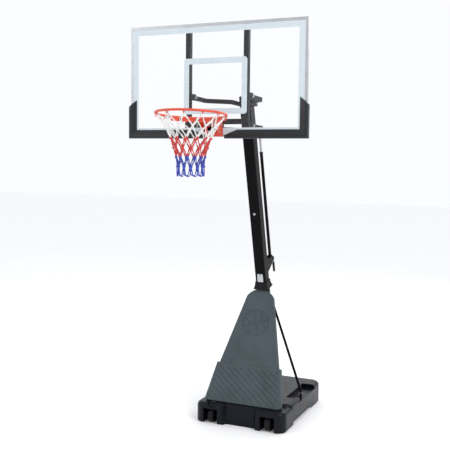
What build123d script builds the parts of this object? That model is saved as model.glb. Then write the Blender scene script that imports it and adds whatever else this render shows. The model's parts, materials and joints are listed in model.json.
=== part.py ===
from build123d import *
import math
import os

# Portable basketball hoop. Millimetres, +Z up, +X to the right seen from the front,
# the board faces -Y. Origin: centre of the base's footprint, on the floor.

# ---- board -----------------------------------------------------------------
BOARD_W = 1372.0            # outside of the frame
BOARD_H = 800.0
BOARD_FACE_Y = -995.0       # front plane of the frame
RIM_DROP = 113.0            # frame's lower edge below the ring's plane
FRAME_FACE = 20.0           # frame tube, seen from the front
FRAME_DEPTH = 22.0
FRAME_WALL = 1.5
SHEET_T = 4.0
SHEET_SET_BACK = 1.5        # sheet's front behind the frame's front
SHEET_GAP = 0.5
PRINT_T = 0.4
PRINT_GAP = 0.1
BORDER_INSET = 22.0         # outside of the printed border, from the frame's outside
BORDER_W = 42.0
TARGET_W = 492.0
TARGET_H = 396.0
TARGET_ABOVE_RIM = 47.0     # lower edge of the target square above the ring
TARGET_STRIPE = 41.0
TARGET_R = 22.0
UPRIGHT = 38.0
UPRIGHT_X = 226.0
UPRIGHT_WALL = 2.0
CROSSBAR_H = 38.0
CROSSBAR_BELOW_RIM = 5.0

# ---- pads ------------------------------------------------------------------
PAD_W = 64.0                # visible width in front of the board
PAD_PROUD = 13.0            # beyond the frame's outside
PAD_SLOT_GAP = 0.4
PAD_FRONT = 18.0            # thickness in front of the frame
PAD_BEVEL = 38.0
PAD_TOP = 219.0             # outer end of the side legs above the frame's lower edge
PAD_TOP_SLOPE = 53.0
PAD_GAP_HALF = 80.0         # open half-width at the rim's mount, at the lip
PAD_GAP_SLOPE = 108.0

# ---- rim and net -----------------------------------------------------------
RIM_HEIGHT = 2409.0         # floor to ring plane at the board, as shown
RING_ROD = 17.0
RING_INNER = 458.0
RING_REACH = 150.0          # board's face to the ring's inner edge
RING_TILT = 4.0             # ring carried nose up
STRAP_H = 20.0
STRAP_T = 4.0
STRAP_HALF_ANGLE = 62.0
HOOK_COUNT = 12
HOOK_ROD = 4.5
NET_LENGTH = 400.0
NET_WAIST_R = 98.0
NET_WAIST_AT = 285.0
NET_WALL = 6.0
RIM_PLATE_W = 128.0
RIM_PLATE_H = 116.0
RIM_PLATE_T = 5.0
RIM_HINGE_FORWARD = 22.0    # hinge pin in front of the frame's front
RIM_HINGE_DROP = 34.0
HOUSING_W = 122.0
HOUSING_T = 4.0
HOUSING_DEPTH = 92.0
HOUSING_H = 76.0
HOUSING_BACK = 9.0          # in front of the board's face, level with the hinge
HOUSING_TOP_BACK = 21.0     # top plate clears the bolt heads
HOUSING_LOW_BACK = 35.0     # cut back so the rim can fold down
RIM_PIN = 10.0
RIM_BOLT_X = 42.0
RIM_BOLT_UP = 9.0           # upper and lower pairs, below the crossbar's middle
RIM_BOLT_LOW = 70.0
RIM_BOLT = 10.0
SPRING_R = 11.0
SPRING_WIRE = 3.2

# ---- pole ------------------------------------------------------------------
POLE = 90.0
POLE_WALL = 2.5
POLE_CORNER = 9.0
POLE_LEAN = 15.5
POLE_FLOOR_Y = 317.7        # where the pole's axis would meet the floor
POLE_START = 136.0          # distances along the pole's axis from the floor
POLE_JOINT = 1703.0
POLE_END = 2720.0
COUPLER_HALF = 110.0
COUPLER_GAP = 0.15
JOINT_GAP = 2.0
JOINT_BOLT_UP = 66.0
JOINT_BOLT = 10.0
FOOT_BOLT = 14.0
FOOT_BOLT_UP = 26.0
CLIP_BOLT = 8.0
CLIP_BOLT_S = 1225.0

# ---- lift linkage ----------------------------------------------------------
PIVOT_BEHIND_FACE = 100.0
UPPER_PIVOT_ABOVE_RIM = 175.0
LINK_SPACING = 208.0
LINK_SLANT = 20.0           # lower pivots sit this far behind the upper ones
LINK_REACH = 520.0          # level distance between board and pole pivots
LINK_DROP = 18.0            # pole pivots below the board pivots, as shown
ARM_W = 25.0
ARM_H = 33.0
ARM_WALL = 2.0
ARM_POLE_GAP = 4.0
ARM_BEND_START = 232.0
ARM_BEND_END = 345.0
ARM_BEND_R = 45.0
PIN = 12.0
RUN_CLEARANCE = 0.05        # radial, hinge pins
OPEN_CLEARANCE = 0.4        # radial, pivots left open
BUSH = 20.0
CHEEK_T = 4.0
CHEEK_GAP = 2.0
JACK_ARM = 243.0            # lower pole pivot to the jack's top pin
LIFT_DOWN = 12.0            # degrees below and above the pose shown
LIFT_UP = 40.0
SLOT_STEPS = 12
PLATE_BAR = 8.0             # thickness of the lower arms' slotted ends

# ---- jack and crank --------------------------------------------------------
JACK_FOOT_Y = 180.0
JACK_FOOT_Z = 1290.0
JACK_TUBE_R = 13.0
JACK_TUBE_WALL = 2.0
JACK_ROD_R = 9.5
JACK_ROD_BORE_R = 6.0
JACK_TILT_RATIO = 0.12      # jack's tilt for each degree of lift
JACK_STROKE = 193.7         # rod's travel for each radian of lift
JACK_GEAR_R = 22.0
SCREW_R = 5.0
CRANK_ARM = 68.0
CRANK_ROD_R = 5.0
GRIP_R = 10.0
GRIP_L = 92.0
JACK_TRUNNION_R = 8.0
JACK_ROD_START = 420.0      # rod's lower end above the jack's pivot
SCREW_TOP = 720.0
CRANK_DROP = 48.0           # crank arm below the jack's pivot
JACK_MARGIN = 36.0          # top pin above the tube's mouth, jack fully drawn in

# ---- base ------------------------------------------------------------------
BASE_W = 770.0
BASE_D = 990.0
BASE_H = 185.0
BASE_WALL = 5.0
BASE_CORNER = 75.0
BASE_TOP_R = 36.0
BASE_FOOT_R = 16.0
DECK_H = 165.0              # lower front of the top, that the cover stands on
DECK_BACK_Y = -335.0
FOOT_EDGE = 105.0           # width of the feet round the hollows underneath
FOOT_RIB = 60.0             # half-width of the middle foot
FOOT_RISE = 12.0
WHEEL_X = 245.0
WHEEL_POCKET_W = 122.0
WHEEL_POCKET_D = 128.0
WHEEL_POCKET_H = 120.0
WHEEL_R = 56.0
WHEEL_W = 46.0
WHEEL_LIFT = 1.5
WHEEL_FRONT = 3.0           # wheel stands out of the base's front by this
AXLE_R = 6.0
AXLE_CLEARANCE = 0.06
RECESS_W = 240.0
RECESS_D = 42.0
SIDE_NOTCH_H = 42.0
SIDE_NOTCH_D = 30.0
SHOULDER_W = 112.0
SHOULDER_DROP = 34.0
SHOULDER_Y0 = -125.0
SHOULDER_Y1 = 305.0
SOCKET_SIDE_GAP = 20.0       # room beside the pole for the foot's bolt
SOCKET_D = 176.0
SOCKET_DEPTH = 75.0
CAP_X = -238.0
CAP_TILT = 25.0
CAP_R = 32.0
CAP_RECESS_R = 40.0
CAP_NECK_R = 22.0
CAP_NECK_L = 10.0
CAP_CLEARANCE = 0.4
CAP_SEAT_DEPTH = 22.0
CAP_RIBS = 18
AXLE_GRIP = 4.0             # length of axle held in each side of its pocket
FILL_LEVEL = 150.0

# ---- struts ----------------------------------------------------------------
STRUT_R = 10.5
STRUT_TOP_S = 1072.0        # along the pole
STRUT_TOP_V = 8.0           # behind the pole's axis
STRUT_FOOT_IN = 47.0        # strut's foot, inwards from the base's side
STRUT_FOOT_Y = 64.0
TAB_T = 5.0
TAB_W = 30.0

STRUT_BOLT = 9.0

# ---- cover -----------------------------------------------------------------
COVER_T = 4.5
COVER_DEPTH = 36.0
COVER_BOTTOM_HALF = 334.0
COVER_STEP_HALF = 270.0
COVER_ARCH_HALF = 118.0
COVER_BOTTOM_Y = -415.0
COVER_BOTTOM_Z = 167.0
COVER_FLOOR_GAP = 1.5       # cover's lowest edge above the deck
COVER_TOP_S = 1100.0        # where the cover's top meets the pole
COVER_STEP_AT = 0.315       # step's place along the cover's slope
COVER_STEP = 16.0
COVER_UPPER_HALF = 262.0
COVER_ARCH_H = 66.0
COVER_PROUD = 4.0
COVER_EDGE_R = 3.5
GROOVES = 13
GROOVE_PITCH = 62.0
GROOVE_W = 7.5
GROOVE_DEPTH = 3.0
GROOVE_ANGLE = 38.0
BALL_AT = 0.70
BALL_R = 112.0
BALL_SEAM = 7.0
BALL_SEAM_DEPTH = 2.2
COLLAR_S0 = 1103.0
COLLAR_S1 = 1162.0
COLLAR_FLARE = 22.0
COLLAR_GAP = 0.6
PLATE_W = 50.0
PLATE_S0 = 1166.0
PLATE_S1 = 1238.0
PLATE_T = 3.0

# ---- worked out from the sizes above ---------------------------------------
FRAME_BOTTOM = RIM_HEIGHT - RIM_DROP
FRAME_TOP = FRAME_BOTTOM + BOARD_H
FRAME_BACK_Y = BOARD_FACE_Y + FRAME_DEPTH
UPRIGHT_BACK_Y = FRAME_BACK_Y + UPRIGHT
SHEET_FRONT_Y = BOARD_FACE_Y + SHEET_SET_BACK
LEAN = math.radians(POLE_LEAN)
SIN_LEAN = math.sin(LEAN)
COS_LEAN = math.cos(LEAN)
POLE_FRAME = Plane(
    origin=(0, POLE_FLOOR_Y, 0), x_dir=(1, 0, 0), z_dir=(0, -SIN_LEAN, COS_LEAN)
)
BOARD_PIVOT_Y = BOARD_FACE_Y + PIVOT_BEHIND_FACE
UPPER_BOARD = (BOARD_PIVOT_Y, RIM_HEIGHT + UPPER_PIVOT_ABOVE_RIM)
LOWER_BOARD = (UPPER_BOARD[0] + LINK_SLANT, UPPER_BOARD[1] - LINK_SPACING)
UPPER_POLE = (UPPER_BOARD[0] + LINK_REACH, UPPER_BOARD[1] - LINK_DROP)
LOWER_POLE = (LOWER_BOARD[0] + LINK_REACH, LOWER_BOARD[1] - LINK_DROP)
LINK_LENGTH = math.hypot(LINK_REACH, LINK_DROP)
LINK_SLOPE = math.degrees(math.atan2(LINK_DROP, LINK_REACH))
ARM_INNER_X = POLE / 2 + ARM_POLE_GAP + ARM_W / 2
JACK_TOP = (
    LOWER_POLE[0] + JACK_ARM * math.cos(math.radians(LINK_SLOPE)),
    LOWER_POLE[1] - JACK_ARM * math.sin(math.radians(LINK_SLOPE)),
)
JACK_DY = JACK_TOP[0] - JACK_FOOT_Y
JACK_DZ = JACK_TOP[1] - JACK_FOOT_Z
JACK_LENGTH = math.hypot(JACK_DY, JACK_DZ)
JACK_FRAME = Plane(
    origin=(0, JACK_FOOT_Y, JACK_FOOT_Z),
    x_dir=(1, 0, 0),
    z_dir=(0, JACK_DY / JACK_LENGTH, JACK_DZ / JACK_LENGTH),
)
JACK_TUBE_TOP = JACK_LENGTH - JACK_STROKE * math.radians(LIFT_UP) - JACK_MARGIN
RIM_HINGE = (BOARD_FACE_Y - RIM_HINGE_FORWARD, RIM_HEIGHT - RIM_HINGE_DROP)
RING_R = (RING_INNER + RING_ROD) / 2
RING_CENTRE_OUT = RING_REACH + RING_INNER / 2
RING_FRAME = Plane(
    origin=(0, BOARD_FACE_Y, RIM_HEIGHT),
    x_dir=(1, 0, 0),
    z_dir=(0, math.sin(math.radians(RING_TILT)), math.cos(math.radians(RING_TILT))),
)
BASE_FRONT_Y = -BASE_D / 2
WHEEL_Y = BASE_FRONT_Y + WHEEL_R - WHEEL_FRONT
WHEEL_Z = WHEEL_R + WHEEL_LIFT
SHOULDER_Z = BASE_H - SHOULDER_DROP
STRUT_FOOT_X = BASE_W / 2 - STRUT_FOOT_IN
SOCKET_W = POLE + 2 * SOCKET_SIDE_GAP
SOCKET_Z = BASE_H - SOCKET_DEPTH
SOCKET_Y = POLE_FLOOR_Y - POLE_START * SIN_LEAN
CAP_RAD = math.radians(CAP_TILT)
CAP_POINT = (CAP_X, BASE_FRONT_Y + 32.0, DECK_H + 1.0)
CAP_FRAME = Plane(
    origin=CAP_POINT, x_dir=(1, 0, 0), z_dir=(0, -math.sin(CAP_RAD), math.cos(CAP_RAD))
)


# ---- helpers ---------------------------------------------------------------
def box(x0, x1, y0, y1, z0, z1):
    """Block between two corners."""
    return Pos((x0 + x1) / 2, (y0 + y1) / 2, (z0 + z1) / 2) * Box(x1 - x0, y1 - y0, z1 - z0)


def rod_x(radius, x0, x1, y, z):
    """Round bar along X."""
    return Pos((x0 + x1) / 2, y, z) * Rot(0, 90, 0) * Cylinder(radius, x1 - x0)


def rod_y(radius, x, y0, y1, z):
    """Round bar along Y."""
    return Pos(x, (y0 + y1) / 2, z) * Rot(90, 0, 0) * Cylinder(radius, y1 - y0)


def tube_x(outer, inner, x0, x1, y, z):
    """Round tube along X."""
    return rod_x(outer, x0, x1, y, z) - rod_x(inner, x0 - 1, x1 + 1, y, z)


def square_tube(side_x, side_y, wall, corner, length):
    """Rectangular tube standing on XY."""
    outer = RectangleRounded(side_x, side_y, corner)
    inner = RectangleRounded(side_x - 2 * wall, side_y - 2 * wall, max(corner - wall, 0.5))
    return extrude(outer - inner, length)


def in_pole(shape):
    """Carry a shape from the pole's own axes (x, behind, along) into place."""
    return POLE_FRAME.location * shape


def in_jack(shape):
    """Carry a shape from the jack's own axes into place."""
    return JACK_FRAME.location * shape


def standing(radius, height):
    """Cylinder standing on z=0."""
    return Cylinder(radius, height, align=(Align.CENTER, Align.CENTER, Align.MIN))


def hex_bolt(radius, length, head_h=7.0, nut=True):
    """Bolt along +Z from z=0 (under the head) to z=length, with a nut and washers."""
    flats = radius * 1.75
    washer = Cylinder(radius * 2.0, 1.6, align=(Align.CENTER, Align.CENTER, Align.MAX))
    head = Pos(0, 0, -1.6) * extrude(RegularPolygon(flats, 6), -head_h)
    body = Pos(0, 0, -2) * standing(radius, length + 12)
    out = body + head + washer
    if nut:
        out = out + Pos(0, 0, length) * standing(radius * 2.0, 1.6)
        out = out + Pos(0, 0, length + 1.6) * extrude(RegularPolygon(flats, 6), 7.0)
    return out


def bolt_x(radius, x0, x1, y, z):
    """Bolt along X with its grip from x0 to x1, head at x0."""
    turn = 90 if x1 > x0 else -90
    return Pos(x0, y, z) * Rot(0, turn, 0) * hex_bolt(radius, abs(x1 - x0))


def bolt_y(radius, x, y0, y1, z):
    """Bolt along +Y with its grip from y0 to y1, head at y0."""
    return Pos(x, y0, z) * Rot(-90, 0, 0) * hex_bolt(radius, y1 - y0)


def group(shapes):
    """Separate solids kept together as one node."""
    solids = []
    for shape in shapes:
        solids.extend(shape.solids())
    return Compound(children=solids)


# ---- board -----------------------------------------------------------------
def make_sheet():
    half = BOARD_W / 2 - FRAME_FACE - SHEET_GAP
    low = FRAME_BOTTOM + FRAME_FACE + SHEET_GAP
    high = FRAME_TOP - FRAME_FACE - SHEET_GAP
    return box(-half, half, SHEET_FRONT_Y, SHEET_FRONT_Y + SHEET_T, low, high)


def frame_tube(length):
    outer = Box(length, FRAME_DEPTH, FRAME_FACE)
    inner = Box(length - 2 * FRAME_WALL, FRAME_DEPTH - 2 * FRAME_WALL, FRAME_FACE - 2 * FRAME_WALL)
    return outer - inner


def make_frame_rail(z_low):
    y = BOARD_FACE_Y + FRAME_DEPTH / 2
    return Pos(0, y, z_low + FRAME_FACE / 2) * frame_tube(BOARD_W)


def make_frame_side(side):
    y = BOARD_FACE_Y + FRAME_DEPTH / 2
    x = side * (BOARD_W - FRAME_FACE) / 2
    z = FRAME_BOTTOM + BOARD_H / 2
    return Pos(x, y, z) * Rot(0, 90, 0) * frame_tube(BOARD_H - 2 * FRAME_FACE)


def print_ring(width, height, stripe, corner, z_low):
    outer = RectangleRounded(width, height, corner) if corner else Rectangle(width, height)
    inner_w = width - 2 * stripe
    inner_h = height - 2 * stripe
    inner_r = max(corner - stripe / 2, 4.0)
    inner = RectangleRounded(inner_w, inner_h, inner_r) if corner else Rectangle(inner_w, inner_h)
    flat = extrude(outer - inner, PRINT_T)
    y = SHEET_FRONT_Y - PRINT_GAP
    return Pos(0, y, z_low + height / 2) * Rot(90, 0, 0) * flat


def make_border_print():
    width = BOARD_W - 2 * BORDER_INSET
    height = BOARD_H - 2 * BORDER_INSET
    return print_ring(width, height, BORDER_W, 0, FRAME_BOTTOM + BORDER_INSET)


def make_target_print():
    return print_ring(TARGET_W, TARGET_H, TARGET_STRIPE, TARGET_R, RIM_HEIGHT + TARGET_ABOVE_RIM)


def make_upright(side):
    tube = square_tube(UPRIGHT, UPRIGHT, UPRIGHT_WALL, 4.0, BOARD_H - 6)
    return Pos(side * UPRIGHT_X, FRAME_BACK_Y + UPRIGHT / 2, FRAME_BOTTOM + 3) * tube


def make_crossbar():
    length = 2 * UPRIGHT_X - UPRIGHT - 2 * CHEEK_T
    tube = square_tube(CROSSBAR_H, UPRIGHT, UPRIGHT_WALL, 4.0, length)
    z = RIM_HEIGHT - CROSSBAR_BELOW_RIM
    return Pos(-length / 2, FRAME_BACK_Y + UPRIGHT / 2, z) * Rot(0, 90, 0) * tube


def cheek(x_in, x_out, pivot):
    """One bracket plate: welded to the upright, rounded about the pivot."""
    half = ARM_H / 2 + 7
    y0 = FRAME_BACK_Y + 6
    plate = box(x_in, x_out, y0, pivot[0], pivot[1] - half, pivot[1] + half)
    nose = rod_x(half, x_in, x_out, *pivot)
    hole = rod_x(PIN / 2 + 0.1, x_in - 1, x_out + 1, *pivot)
    return plate + nose - hole


def make_bracket(side, pivot):
    """Two cheeks outside the upright, either side of an arm."""
    near = UPRIGHT_X - UPRIGHT / 2
    far = UPRIGHT_X + UPRIGHT / 2
    a = cheek(near - CHEEK_T, near, pivot)
    b = cheek(far, far + CHEEK_T, pivot)
    pair = Compound(children=[a, b])
    return pair if side > 0 else mirror(pair, Plane.YZ)


def make_brackets(pivot):
    return group([make_bracket(-1, pivot), make_bracket(1, pivot)])


def make_board_bolts(pivot):
    """One bolt through each pair of cheeks, heads outwards."""
    far = UPRIGHT_X + UPRIGHT / 2 + CHEEK_T
    near = UPRIGHT_X - UPRIGHT / 2 - CHEEK_T
    right = bolt_x(PIN / 2, far, near, *pivot)
    left = bolt_x(PIN / 2, -far, -near, *pivot)
    return group([left, right])


# ---- pads ------------------------------------------------------------------
def polygon_face(points):
    """Flat face through points in XY."""
    return Face(Wire.make_polygon([Vector(x, y) for x, y in points], close=True))


def prism_z(points, height):
    return extrude(polygon_face(points), height, dir=(0, 0, 1))


def prism_y(points, y0, y1):
    """Prism along Y through points in XZ."""
    wire = Wire.make_polygon([Vector(x, y0, z) for x, z in points], close=True)
    return extrude(Face(wire), y1 - y0, dir=(0, 1, 0))


def prism_x(points, x0, x1):
    """Prism along X through points in YZ."""
    wire = Wire.make_polygon([Vector(x0, y, z) for y, z in points], close=True)
    return extrude(Face(wire), x1 - x0, dir=(1, 0, 0))


def pad_profile():
    """(inwards from the frame's edge, forwards of the frame's front)."""
    back = -FRAME_DEPTH - PAD_SLOT_GAP
    return [
        (6 - PAD_PROUD, PAD_FRONT),
        (PAD_W - PAD_PROUD - PAD_BEVEL, PAD_FRONT),
        (PAD_W - PAD_PROUD, PAD_SLOT_GAP + 1),
        (PAD_W - PAD_PROUD, PAD_SLOT_GAP),
        (-PAD_SLOT_GAP, PAD_SLOT_GAP),
        (-PAD_SLOT_GAP, back),
        (-PAD_PROUD, back),
        (-PAD_PROUD, PAD_FRONT - 6),
    ]


def make_pad(side):
    """L-shaped pad: a leg up the side, mitred to a run that ends at the rim's mount."""
    edge = BOARD_W / 2
    low = FRAME_BOTTOM
    inner = PAD_W - PAD_PROUD
    leg_points = [(edge - u, BOARD_FACE_Y - v) for u, v in pad_profile()]
    run_points = [(BOARD_FACE_Y - v, low + u) for u, v in pad_profile()]
    leg = Pos(0, 0, low - PAD_PROUD) * prism_z(leg_points, PAD_TOP + PAD_TOP_SLOPE + PAD_PROUD)
    run = prism_x(run_points, PAD_GAP_HALF, edge + PAD_PROUD)
    corner = (edge + 2 * PAD_PROUD, low - 2 * PAD_PROUD)
    crease = (edge - inner - 5, low + inner + 5)
    slope = PAD_TOP_SLOPE / PAD_W
    leg_keep = [
        corner,
        crease,
        (crease[0], low + PAD_TOP + PAD_TOP_SLOPE + 5 * slope),
        (corner[0], low + PAD_TOP - PAD_PROUD * slope),
    ]
    run_keep = [
        corner,
        (PAD_GAP_HALF, corner[1]),
        (PAD_GAP_HALF, low + 10),
        (PAD_GAP_HALF + PAD_GAP_SLOPE, crease[1]),
        crease,
    ]
    y0 = BOARD_FACE_Y - 3 * PAD_FRONT
    y1 = BOARD_FACE_Y + 3 * FRAME_DEPTH
    pad = (leg & prism_y(leg_keep, y0, y1)) + (run & prism_y(run_keep, y0, y1))
    return pad if side > 0 else mirror(pad, Plane.YZ)


# ---- rim -------------------------------------------------------------------
def in_ring(shape):
    """Carry a shape from the ring's own axes (origin on the board's face) into place."""
    return RING_FRAME.location * shape


def make_ring():
    return in_ring(Pos(0, -RING_CENTRE_OUT, 0) * Torus(RING_R, RING_ROD / 2))


def make_strap():
    """Brace band under the rear half of the ring, joined to the housing."""
    outer = Cylinder(RING_R + STRAP_T / 2, STRAP_H)
    inner = Cylinder(RING_R - STRAP_T / 2, STRAP_H + 2)
    reach = 3 * RING_R
    angle = math.radians(STRAP_HALF_ANGLE)
    wedge = prism_z([(0, 0), (-reach * math.sin(angle), reach * math.cos(angle)),
                     (0, 2 * reach), (reach * math.sin(angle), reach * math.cos(angle))], STRAP_H + 2)
    band = (outer - inner) & (Pos(0, 0, -STRAP_H / 2 - 1) * wedge)
    z = -RING_ROD / 2 - STRAP_H / 2 + 0.5
    strap = in_ring(Pos(0, -RING_CENTRE_OUT, z) * band)
    return biggest(strap - make_ring() - make_housing())


def make_housing():
    """Folded steel neck: two side plates and a top plate from hinge to ring."""
    half = HOUSING_W / 2
    front = -HOUSING_DEPTH - 12
    back = -HOUSING_BACK
    low = -HOUSING_H - RING_ROD / 2
    side_outline = [(back, -RING_ROD / 2), (front, -RING_ROD / 2), (front, -40.0),
                    (front + 22, low), (-HOUSING_LOW_BACK, low), (back, -RIM_HINGE_DROP - 6)]
    left = prism_x(side_outline, -half, -half + HOUSING_T)
    right = prism_x(side_outline, half - HOUSING_T, half)
    top = box(-half, half, -RING_REACH - 6, -HOUSING_TOP_BACK,
              -RING_ROD / 2 - HOUSING_T, -RING_ROD / 2)
    reach = RING_CENTRE_OUT
    hollow = Pos(0, -reach, 0) * Cylinder(RING_R - RING_ROD / 2 + 4, 60)
    body = in_ring((left + right + top) - hollow)
    return body - rod_x(RIM_PIN / 2 + RUN_CLEARANCE, -half - 5, half + 5, *RIM_HINGE)


def make_hook(index):
    """One net hook: a small loop of wire hanging from the ring."""
    angle = 360.0 * (index + 0.5) / HOOK_COUNT
    drop = RING_ROD / 2 + 3.5
    loop = Rot(90, 0, 0) * Torus(7.0, HOOK_ROD / 2)
    place = Pos(0, -RING_CENTRE_OUT, 0) * Rot(0, 0, angle) * Pos(0, -RING_R, -drop - 1.5)
    return in_ring(place * Rot(0, 0, 90) * loop)


def make_hooks():
    carrier = make_ring() + make_strap()
    housing = make_housing()
    return group([biggest(make_hook(i) - carrier - housing) for i in range(HOOK_COUNT)])


def make_net():
    """Soft solid: tapering open tube hung under the ring."""
    top_r = RING_INNER / 2 - 5
    top_z = -RING_ROD / 2 - 22
    outline = [(top_r, top_z), (NET_WAIST_R, -NET_WAIST_AT), (NET_WAIST_R, -NET_LENGTH)]
    inner = [(r - NET_WALL, z) for r, z in reversed(outline)]
    points = [Vector(r, 0, z) for r, z in outline + inner]
    face = Face(Wire.make_polygon(points, close=True))
    shell = revolve(face, Axis.Z, 360)
    y = BOARD_FACE_Y - RING_CENTRE_OUT * math.cos(math.radians(RING_TILT))
    z = RIM_HEIGHT + RING_CENTRE_OUT * math.sin(math.radians(RING_TILT))
    return Pos(0, y, z) * shell


def make_rim_plate():
    """Plate bolted through the board, with two ears for the hinge pin."""
    half = RIM_PLATE_W / 2
    top = RIM_HEIGHT + 4
    plate = box(-half, half, BOARD_FACE_Y - RIM_PLATE_T, BOARD_FACE_Y, top - RIM_PLATE_H, top)
    ear_x = HOUSING_W / 2 - HOUSING_T - 1.0
    ears = []
    for side in (-1, 1):
        x0 = side * ear_x
        x1 = side * (ear_x - 5)
        blade = box(min(x0, x1), max(x0, x1), RIM_HINGE[0], BOARD_FACE_Y - RIM_PLATE_T,
                    RIM_HINGE[1] - 10, RIM_HINGE[1] + 10)
        ears.append(blade + rod_x(10, min(x0, x1), max(x0, x1), *RIM_HINGE))
    body = plate + ears[0] + ears[1]
    body = body - rod_x(RIM_PIN / 2, -half, half, *RIM_HINGE)
    for x, z in rim_bolt_places():
        body = body - rod_y(5.1, x, BOARD_FACE_Y - 20, BOARD_FACE_Y + 5, z)
    return body


def rim_bolt_places():
    """Two bolts above and two below the crossbar's middle line."""
    z = RIM_HEIGHT - CROSSBAR_BELOW_RIM
    return [(-RIM_BOLT_X, z - RIM_BOLT_UP), (RIM_BOLT_X, z - RIM_BOLT_UP),
            (-RIM_BOLT_X, z - RIM_BOLT_LOW), (RIM_BOLT_X, z - RIM_BOLT_LOW)]


def make_rim_pin():
    half = HOUSING_W / 2 + 3
    pin = rod_x(RIM_PIN / 2, -half, half, *RIM_HINGE)
    return pin + rod_x(8, -half - 4, -half, *RIM_HINGE) + rod_x(8, half, half + 4, *RIM_HINGE)


def make_rim_springs():
    """Two compression springs between the plate and the housing's lower part."""
    springs = []
    for x in (-26.0, 26.0):
        start = BOARD_FACE_Y - RIM_PLATE_T - 0.3
        coil = Pos(x, start - 17, RIM_HINGE[1] - 24) * Rot(90, 0, 0) * spring_body()
        springs.append(coil)
    return group(springs)


def spring_body():
    turns = [Pos(0, 0, 5.2 * i) * Torus(SPRING_R, SPRING_WIRE / 2) for i in range(-3, 4)]
    spine = Cylinder(SPRING_R - 1, 33) - Cylinder(SPRING_R - 3, 35)
    body = spine
    for turn in turns:
        body = body + turn
    return body


def make_backing_plate():
    """Spacer between the board's sheet and the crossbar, behind the rim's plate."""
    half = RIM_PLATE_W / 2
    z_mid = RIM_HEIGHT - CROSSBAR_BELOW_RIM
    y0 = SHEET_FRONT_Y + SHEET_T + PRINT_GAP
    plate = box(-half, half, y0, FRAME_BACK_Y, FRAME_BOTTOM + FRAME_FACE + 1, z_mid + CROSSBAR_H / 2)
    return plate - rim_bolt_holes()


def rim_bolt_holes():
    """Clearance holes for the four rim bolts, through everything they pass."""
    holes = None
    for x, z in rim_bolt_places():
        hole = rod_y(RIM_BOLT / 2 + PRINT_GAP, x, BOARD_FACE_Y - 20, UPRIGHT_BACK_Y + 5, z)
        holes = hole if holes is None else holes + hole
    return holes


def make_rim_bolts():
    bolts = []
    y0 = BOARD_FACE_Y - RIM_PLATE_T
    for i, (x, z) in enumerate(rim_bolt_places()):
        y1 = UPRIGHT_BACK_Y if i < 2 else FRAME_BACK_Y
        bolts.append(bolt_y(RIM_BOLT / 2, x, y0, y1, z))
    return group(bolts)


# ---- lift linkage ----------------------------------------------------------
def in_arm(shape, pivot):
    """Carry a shape from an arm's axes (y along the arm from the board pivot) into place."""
    return Pos(0, pivot[0], pivot[1]) * Rot(-LINK_SLOPE, 0, 0) * shape


def bent_tube(end_y):
    """Tube of an arm: back from the upright, in beside the pole, then along it."""
    path = FilletPolyline(
        (UPRIGHT_X, -BUSH * 0.7, 0),
        (UPRIGHT_X, ARM_BEND_START, 0),
        (ARM_INNER_X, ARM_BEND_END, 0),
        (ARM_INNER_X, end_y, 0),
        radius=ARM_BEND_R,
    )
    start = Plane(origin=path @ 0, x_dir=(1, 0, 0), z_dir=(0, 1, 0))
    outer = RectangleRounded(ARM_W, ARM_H, 4)
    inner = RectangleRounded(ARM_W - 2 * ARM_WALL, ARM_H - 2 * ARM_WALL, 2)
    return sweep(start * (outer - inner), path=path)


def bushed(tube, x, y, bore_r):
    """Add a welded bush through a tube and open its bore."""
    half = ARM_W / 2
    tube = tube + rod_x(BUSH / 2, x - half, x + half, y, 0)
    return tube - rod_x(bore_r, x - half - 1, x + half + 1, y, 0)


def make_upper_arm(side):
    bore = PIN / 2 + RUN_CLEARANCE
    tube = bent_tube(LINK_LENGTH + BUSH * 0.9)
    tube = bushed(tube, UPRIGHT_X, 0, bore)
    tube = bushed(tube, ARM_INNER_X, LINK_LENGTH, bore)
    arm = in_arm(tube, UPPER_BOARD)
    return arm if side > 0 else mirror(arm, Plane.YZ)


def slot_point(lift):
    """Jack pin's place in the lower arm's axes at a lift angle in radians."""
    tilt = JACK_TILT_RATIO * lift
    length = JACK_LENGTH - JACK_STROKE * lift
    dir_y = (JACK_DY * math.cos(tilt) - JACK_DZ * math.sin(tilt)) / JACK_LENGTH
    dir_z = (JACK_DY * math.sin(tilt) + JACK_DZ * math.cos(tilt)) / JACK_LENGTH
    dy = JACK_FOOT_Y + length * dir_y - LOWER_POLE[0]
    dz = JACK_FOOT_Z + length * dir_z - LOWER_POLE[1]
    turn = lift + math.radians(LINK_SLOPE)
    along = dy * math.cos(turn) - dz * math.sin(turn)
    up = dy * math.sin(turn) + dz * math.cos(turn)
    return LINK_LENGTH + along, up


def slot_points():
    steps = SLOT_STEPS
    span = LIFT_UP + LIFT_DOWN
    return [slot_point(math.radians(-LIFT_DOWN + span * i / steps)) for i in range(steps + 1)]


def make_slot_cutter(x):
    """Short curved slot that the jack's pin works in."""
    radius = PIN / 2 + OPEN_CLEARANCE
    points = slot_points()
    cutter = None
    for i, (y, z) in enumerate(points):
        piece = rod_x(radius, x - PLATE_BAR, x + PLATE_BAR, y, z)
        cutter = piece if cutter is None else cutter + piece
        if i:
            y0, z0 = points[i - 1]
            run = math.hypot(y - y0, z - z0)
            if run > 0.05:
                angle = math.degrees(math.atan2(z - z0, y - y0))
                bar = Box(2 * PLATE_BAR, run, 2 * radius)
                cutter = cutter + Pos(x, (y + y0) / 2, (z + z0) / 2) * Rot(angle, 0, 0) * bar
    return cutter


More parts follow.
